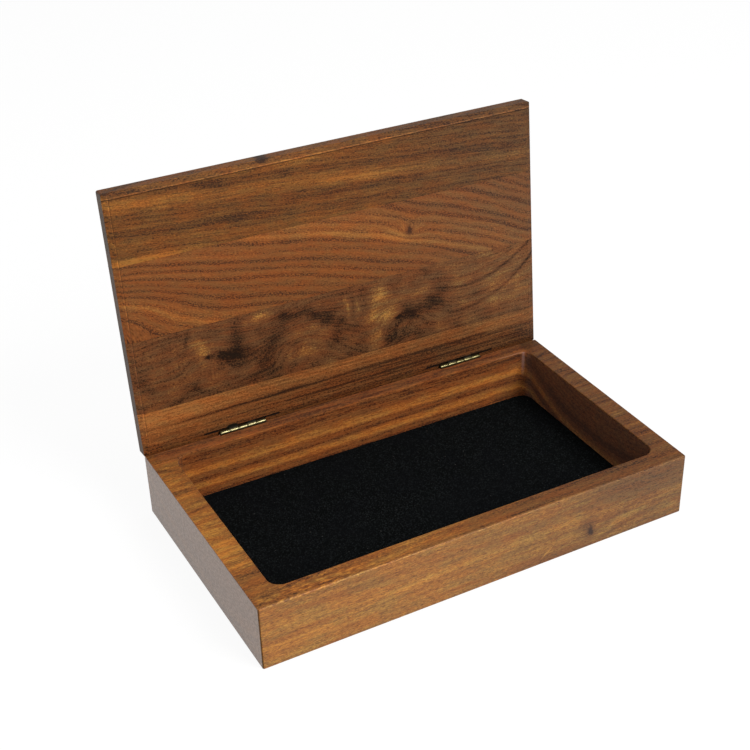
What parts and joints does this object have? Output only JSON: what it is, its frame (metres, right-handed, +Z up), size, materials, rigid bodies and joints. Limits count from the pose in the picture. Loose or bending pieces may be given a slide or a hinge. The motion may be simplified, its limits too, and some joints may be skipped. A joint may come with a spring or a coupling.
{
  "type": "hinged wooden display case",
  "caption": "Low walnut presentation box, routed from a solid block and lined with black felt, with an edge-glued flat lid standing open on two slot hinges.",
  "frame": {"origin": "centre of the base's flat underside", "axes": "+X along the case's length to the right, +Y from the front to the hinge side, +Z up"},
  "size_m": [0.2794, 0.1883, 0.2043],
  "materials": {
    "base_walnut": "satin oil on long grain, matt on end grain",
    "felt": "short-napped black felt",
    "lid_walnut_straight": "satin oil, straight striped grain",
    "lid_walnut_red": "satin oil, reddish arched grain with a small knot",
    "lid_walnut_figured": "satin oil, dark swirling figure",
    "lid_walnut_rear": "satin oil, straight dark-striped grain",
    "hinge_brass": "pale satin brass, lightly tarnished in the joints",
    "pin_brass": "drawn brass wire with peened ends"
  },
  "bodies": {
    "base": {"base_block": "base_walnut", "felt_pad": "felt", "hinge_left_base_leaf": "hinge_brass", "hinge_left_pin": "pin_brass", "hinge_right_base_leaf": "hinge_brass", "hinge_right_pin": "pin_brass"},
    "lid": {"lid_board_front": "lid_walnut_straight", "lid_board_mid_front": "lid_walnut_red", "lid_board_mid_rear": "lid_walnut_figured", "lid_board_rear": "lid_walnut_rear", "hinge_left_lid_leaf": "hinge_brass", "hinge_right_lid_leaf": "hinge_brass"}
  },
  "joints": [
    {"name": "lid_hinge", "type": "hinge", "parent": "base", "child": "lid", "pos_m": [0, 0.08115, 0.0414], "axis": [1, 0, 0], "range_deg": [0, 95.3]}
  ]
}
